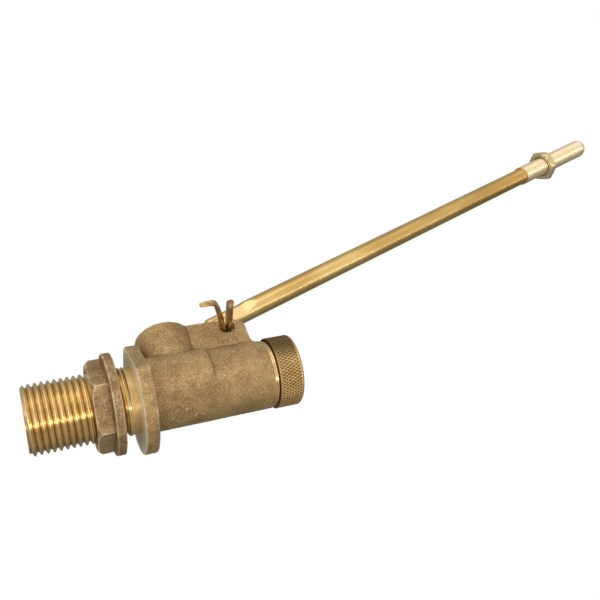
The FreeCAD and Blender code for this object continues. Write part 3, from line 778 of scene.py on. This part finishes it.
def cast_look(name, tint, deep, pale, marks_and_highlight=False):
    """Sand-cast brass: mottled, grainy, paler on worn edges, and with painted shade in its hollows."""
    look = Look(name)
    cloud = look.noise(5.0, 4)
    grain = look.noise(0.5, 3, 0.7)
    fine = look.noise(0.25, 2, 0.6)
    colour = look.mix(look.remap(cloud, 0.35, 0.66), tint, deep)
    colour = look.mix(look.remap(grain, 0.52, 0.68, 0, 0.75), colour, pale)
    colour = look.mix(look.remap(grain, 0.48, 0.30, 0, 0.6), colour, rgb(104, 78, 48))
    # Real marks, and a painted highlight along the barrel's crest.
    if marks_and_highlight:
        colour = ground_patch(look, colour)
    bend = look.add("ShaderNodeAttribute")
    bend.attribute_name = "bend"
    bend = bend.outputs["Fac"]
    # Painted shade: creases and inner corners, where the bend is below 0, are darkened to brown.
    colour = look.mix(look.remap(bend, -0.15, -1.3, 0, 0.5), colour, rgb(88, 62, 36))
    worn = look.math("MULTIPLY", look.remap(bend, 1.0, 2.4), look.remap(cloud, 0.3, 0.6, 1.0, 0.5))
    colour = look.mix(look.math("MULTIPLY", worn, 0.7), colour, rgb(246, 226, 186))
    rough = look.remap(grain, 0.3, 0.75, 0.58, 0.34)
    height = look.math("ADD", grain, look.math("MULTIPLY", fine, 0.5))
    look.set(Base_Color=colour, Metallic=0.75, Roughness=rough, Normal=look.bump(height, 0.22))
    return look.material


def ground_patch(look, colour):
    """An olive patch where the barrel's underside was dressed, a painted highlight along the barrel's crest,
    small pale nicks and a pale machined flange face.
    """
    x, y, z = look.part(0), look.part(1), look.part(2)
    ragged = look.math("MULTIPLY", look.math("SUBTRACT", look.noise(1.5, 3), 0.5), 0.0025)
    x_side = look.math("ADD", x, ragged)
    y_side = look.math("ADD", y, ragged)
    along = look.math("MULTIPLY", look.remap(x_side, 0.0260, 0.0272), look.remap(x_side, 0.0384, 0.0374))
    aside = look.math("MULTIPLY", look.remap(y_side, -0.0034, -0.0026), look.remap(y_side, 0.0026, 0.0018))
    under = look.remap(z, -0.0085, -0.0100)
    share = look.math("MULTIPLY", look.math("MULTIPLY", along, aside), under)
    colour = look.mix(look.math("MULTIPLY", share, 0.45), colour, rgb(150, 134, 82))
    # Painted highlight along the barrel's crest.
    colour = painted_crest_highlight(look, colour, y, z)
    colour = pale_pits(look, colour)
    return look.mix(look.remap(x, 0.00022, 0.00005, 0, 0.9), colour, rgb(244, 234, 208))


def painted_crest_highlight(look, colour, y, z):
    """Painted highlight: grains made pale along the barrel's upper crest, below the lugs, where the light
    falls.
    """
    below_lugs = look.remap(z, 0.0125, 0.0105)
    crest = look.math("MULTIPLY", look.remap(look.high_side(y, z), 0.0084, 0.0100), below_lugs)
    grains = look.remap(look.noise(0.45, 3), 0.46, 0.64)
    share = look.math("MULTIPLY", look.math("MULTIPLY", crest, grains), 0.4)
    return look.mix(share, colour, rgb(240, 216, 164))


def pale_pits(look, colour):
    """Small bright nicks on the underside of the chamber."""
    lowest = [(9.2, -2.3, -10.8), (10.7, -0.9, -10.8), (16.2, -2.0, -10.8), (18.7, -1.7, -10.8)]
    for spot in lowest + [(13.5, -4.8, -9.8)]:
        near = look.remap(look.distance_from(spot), 0.0007, 0.0002, 0, 0.6)
        colour = look.mix(near, colour, rgb(236, 214, 172))
    return colour


# groove is the colour of the painted shade in the thread grooves.
def turned_look(name, tint, deep, groove, rough=0.15):
    """Brass fresh off the lathe, with faint tool rings, and painted shade down in the grooves."""
    look = Look(name)
    rings = look.noise(0.16, 2, 0.5, look.stretched(1, 0.03, 0.03))
    cloud = look.noise(3.5, 3)
    colour = look.mix(look.remap(cloud, 0.38, 0.70, 0, 0.8), tint, deep)
    hollow = look.pointed(0.495, 0.40)
    # Painted shade: the grooves are darkened towards the groove colour.
    colour = look.mix(look.math("MULTIPLY", hollow, 0.9), colour, groove)
    roughness = look.remap(cloud, 0.3, 0.7, rough, rough + 0.12)
    look.set(Base_Color=colour, Metallic=0.95, Roughness=roughness, Normal=look.bump(rings, 0.012))
    return look.material


def knurl_look():
    """Brass with painted shade in the knurl's sunken parts, painted shade on the upper side and tool rings on
    the end face.
    """
    look = Look("knurled_brass")
    cloud = look.noise(5.0, 3)
    grain = look.noise(0.4, 2)
    x, y, z = look.part(0), look.part(1), look.part(2)
    radius = look.math("SQRT", look.math("ADD", look.math("MULTIPLY", y, y), look.math("MULTIPLY", z, z)))
    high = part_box("end_cap")[1]
    raised = look.remap(radius, high.z - KNURL_DEPTH * MM, high.z - 0.02 * MM)
    past_knurl = look.remap(x, high.x - 1.0 * MM, high.x - 0.8 * MM)
    depth = look.math("MAXIMUM", raised, past_knurl)
    colour = look.mix(look.remap(cloud, 0.35, 0.7), rgb(216, 180, 122), rgb(190, 154, 97))
    # Painted shade: the sunken parts of the knurl are darkened.
    colour = look.mix(depth, rgb(104, 80, 44), colour)
    colour = look.mix(look.remap(grain, 0.55, 0.75, 0, 0.4), colour, rgb(214, 184, 130))
    on_knurl = look.math("SUBTRACT", 1.0, past_knurl)
    # Painted shade: the knurl's upper side is darkened, and more deeply in its sunken parts.
    painted_top_shade = look.math("MULTIPLY", look.remap(look.high_side(y, z), 0.0035, 0.0100, 0, 0.9), on_knurl)
    colour = look.mix(painted_top_shade, colour, look.mix(depth, rgb(56, 43, 25), rgb(116, 93, 56)))
    outward = look.add("ShaderNodeCombineXYZ", X=radius).outputs[0]
    rings = look.math("MULTIPLY", look.noise(0.35, 2, 0.5, outward), past_knurl)
    height = look.math("ADD", grain, rings)
    rough = look.remap(cloud, 0.3, 0.7, 0.40, 0.52)
    look.set(Base_Color=colour, Metallic=0.85, Roughness=rough, Normal=look.bump(height, 0.03))
    return look.material


def rod_look():
    """Drawn brass: streaks along the rod, a pale filed head and a frosted threaded end."""
    look = Look("drawn_brass_rod")
    streaks = look.noise(0.5, 3, 0.6, look.turned(on_lever(0, ROD_LIFT), (0.02, 1, 1)))
    cloud = look.noise(9.0, 3, 0.5, look.turned(on_lever(0, ROD_LIFT), (0.35, 1, 1)))
    colour = look.mix(look.remap(cloud, 0.36, 0.66), rgb(232, 198, 128), rgb(208, 170, 102))
    colour = look.mix(look.remap(streaks, 0.45, 0.72, 0, 0.5), colour, rgb(236, 204, 136))
    along = look.add("ShaderNodeSeparateXYZ", Vector=look.turned(on_lever())).outputs[0]
    aged = look.remap(along, 0.070, 0.165, 0, 0.65)
    colour = look.mix(aged, colour, rgb(192, 148, 76))
    head = look.remap(along, 0.019, 0.014)
    colour = look.mix(look.math("MULTIPLY", head, 0.8), colour, rgb(226, 196, 138))
    tip = look.remap(along, 0.1690, 0.1702)
    frost = look.noise(0.6, 2)
    cream = look.mix(frost, rgb(222, 200, 154), rgb(238, 224, 194))
    colour = look.mix(look.math("MULTIPLY", tip, 0.9), colour, cream)
    rough = look.math("ADD", look.remap(streaks, 0.3, 0.7, 0.24, 0.36), look.math("MULTIPLY", tip, 0.12))
    look.set(Base_Color=colour, Metallic=1.0, Roughness=rough, Normal=look.bump(streaks, 0.0015))
    return look.material


def pin_look():
    """Dull brass wire, scratched along its legs."""
    look = Look("dark_pin_brass")
    cloud = look.noise(2.0, 3)
    scratch = look.noise(0.3, 3, 0.6, look.stretched(1, 0.08, 1))
    colour = look.mix(look.remap(cloud, 0.35, 0.65), rgb(192, 158, 104), rgb(142, 108, 64))
    colour = look.mix(look.remap(scratch, 0.55, 0.75, 0, 0.5), colour, rgb(226, 204, 156))
    rough = look.remap(scratch, 0.3, 0.7, 0.42, 0.26)
    look.set(Base_Color=colour, Metallic=0.85, Roughness=rough, Normal=look.bump(scratch, 0.03))
    return look.material


def soft_look(name, tint, other, grain_size, rough):
    """Plastic, fibre or rubber: cloudy colour and a fine moulded grain."""
    look = Look(name)
    cloud = look.noise(4.0, 3)
    grain = look.noise(grain_size, 2)
    colour = look.mix(look.remap(cloud, 0.35, 0.65), tint, other)
    roughness = look.remap(grain, 0.3, 0.7, rough, rough + 0.15)
    look.set(Base_Color=colour, Roughness=roughness, Normal=look.bump(grain, 0.03))
    return look.material


# ---------------------------------------------------------------- camera, light and floor

# The studio's brightness at angles over (plus) and under (minus) the camera, in degrees.
STUDIO = [
    (-180, 0.30), (-130, 0.16), (-90, 0.38), (-55, 0.46), (-36, 0.38), (-22, 0.42),
    (-17.5, 6.0), (-13.5, 6.0), (-9, 0.80), (-4, 1.0),
    (40, 0.98), (70, 0.84), (96, 0.80), (116, 0.52), (150, 0.40), (180, 0.35),
]

# The camera stands below the valve, on the inlet's side, and looks up at it.
CAMERA_AT = Vector((-30.95, -194.77, -126.76)) * MM
RIGHT = Vector((0.9214, -0.1794, -0.3447)).normalized()
UP = Vector((0.1478, -0.6586, 0.7378)).normalized()
AHEAD = UP.cross(RIGHT).normalized()
SENSOR = 36
LENS = 45.09


def placed(name, data):
    """A new object in the scene that holds the data."""
    obj = bpy.data.objects.new(name, data)
    bpy.context.scene.collection.objects.link(obj)
    return obj


def camera():
    """The photo's camera, as solved from the object's known sizes."""
    data = bpy.data.cameras.new("camera")
    data.sensor_width = SENSOR
    data.lens = LENS
    data.clip_start = 0.01
    data.clip_end = 20
    obj = placed("camera", data)
    turn = Matrix((RIGHT, UP, -AHEAD)).transposed()
    obj.matrix_world = Matrix.Translation(CAMERA_AT) @ turn.to_4x4()
    bpy.context.scene.camera = obj


def lamp(direction, strength, spread):
    """A broad soft sun from a direction given as right, up and towards the camera."""
    data = bpy.data.lights.new("key", "SUN")
    data.energy = strength
    data.angle = math.radians(spread)
    obj = placed("key", data)
    towards = (RIGHT * direction[0] + UP * direction[1] - AHEAD * direction[2]).normalized()
    obj.rotation_euler = towards.to_track_quat("Z", "Y").to_euler()


def surroundings():
    """White to the camera itself. To the metal, a studio that turns with the camera.

    Its brightness depends on the angle over or under the camera, -180 to 180 degrees, with one
    bright strip just below it that draws the crisp line along the threads.
    """
    world = bpy.data.worlds.new("studio")
    bpy.context.scene.world = world
    world.use_nodes = True
    world.node_tree.nodes.clear()
    sky = Nodes(world.node_tree)
    place = sky.add("ShaderNodeTexCoord").outputs["Generated"]
    from_camera = sky.add("ShaderNodeVectorTransform", Vector=place)
    from_camera.vector_type = "VECTOR"
    from_camera.convert_from = "WORLD"
    from_camera.convert_to = "CAMERA"
    parts = sky.add("ShaderNodeSeparateXYZ", Vector=from_camera.outputs[0])
    behind = sky.math("MULTIPLY", parts.outputs["Z"], -1)
    angle = sky.math("ARCTAN2", parts.outputs["Y"], behind)
    spread = sky.add("ShaderNodeMapRange", Value=angle, From_Min=-math.pi, From_Max=math.pi)
    ramp = sky.add("ShaderNodeValToRGB", Fac=spread.outputs["Result"])
    brightest = max(level for _, level in STUDIO)
    fill_ramp(ramp.color_ramp, brightest)
    lit = sky.add("ShaderNodeBackground", Color=ramp.outputs["Color"], Strength=brightest)
    seen = sky.add("ShaderNodeBackground", Color=(1, 1, 1, 1))
    direct = sky.add("ShaderNodeLightPath").outputs["Is Camera Ray"]
    mix = sky.feed_all(sky.add("ShaderNodeMixShader"), direct, lit.outputs[0], seen.outputs[0])
    sky.add("ShaderNodeOutputWorld", Surface=mix.outputs[0])


def fill_ramp(ramp, brightest):
    """The studio's brightness as a colour ramp, very slightly warm."""
    while len(ramp.elements) < len(STUDIO):
        ramp.elements.new(0.5)
    for element, (degrees, level) in zip(ramp.elements, STUDIO):
        element.position = (degrees + 180) / 360
        share = level / brightest
        element.color = (share, share * 0.985, share * 0.96, 1)


def floor():
    """A pale sheet under the valve that fades out to white.

    It shows only from above, because the photo's camera looks up from below it.
    """
    look = Look("pale_floor")
    cloud = look.noise(300, 2)
    colour = look.mix(cloud, (0.86, 0.86, 0.85, 1), (0.90, 0.90, 0.89, 1))
    look.set(Base_Color=colour, Roughness=0.9)
    clear = look.add("ShaderNodeBsdfTransparent")
    back = look.add("ShaderNodeNewGeometry").outputs["Backfacing"]
    direct = look.add("ShaderNodeLightPath").outputs["Is Camera Ray"]
    share = look.math("MULTIPLY", direct, look.math("SUBTRACT", 1.0, back))
    away = look.add("ShaderNodeVectorMath", Vector=look.place)
    away.operation = "LENGTH"
    share = look.math("MULTIPLY", share, look.remap(away.outputs["Value"], 0.75, 0.15))
    mix = look.feed_all(look.add("ShaderNodeMixShader"), share, clear.outputs[0], look.shader.outputs[0])
    look.feed(look.tree.nodes["Material Output"].inputs["Surface"], mix.outputs[0])
    mesh = bpy.data.meshes.new("floor")
    half = 3.0
    level = cad_low.z - 0.0002
    corners = [(-half, -half), (half, -half), (half, half), (-half, half)]
    mesh.from_pydata([(x, y, level) for x, y in corners], [], [(0, 1, 2, 3)])
    mesh.materials.append(look.material)
    placed("floor", mesh)


def inner_looks(golden):
    """Materials for the pieces inside, whose CAD meshes are shown as they are."""
    inner = {
        "seat_nozzle": soft_look("white_nylon", rgb(236, 232, 220), rgb(222, 216, 200), 0.3, 0.35),
        "nozzle_washer": soft_look("red_fibre", rgb(150, 70, 50), rgb(124, 56, 40), 0.2, 0.7),
        "piston_washer": soft_look("black_rubber", rgb(38, 38, 40), rgb(52, 52, 54), 0.25, 0.55),
        "piston_body": golden,
        "piston_washer_cap": golden,
    }
    for node, look in inner.items():
        mesh = frame["nodes"][node].data
        mesh.materials.clear()
        mesh.materials.append(look)


def main():
    cast = cast_look("cast_brass", rgb(183, 152, 103), rgb(157, 127, 82), rgb(218, 190, 142), marks_and_highlight=True)
    nut_cast = cast_look("cast_brass_nut", rgb(176, 146, 104), rgb(140, 112, 74), rgb(214, 188, 146))
    golden = turned_look("turned_brass", rgb(234, 205, 152), rgb(212, 177, 118), rgb(94, 64, 32))
    yellow = turned_look("yellow_brass", rgb(232, 218, 172), rgb(216, 196, 142), rgb(160, 120, 64), 0.24)
    casting(cast)
    shank(golden)
    spigot(golden)
    back_nut(nut_cast)
    end_cap(knurl_look())
    drawn = rod_look()
    lever_rod(drawn)
    lever_head(drawn)
    split_pin(pin_look())
    lock_nut(yellow)
    inner_looks(golden)
    camera()
    surroundings()
    lamp((0.1, 1.0, 0.55), 0.5, 50)
    floor()
    bpy.context.scene.view_settings.view_transform = "Standard"


main()
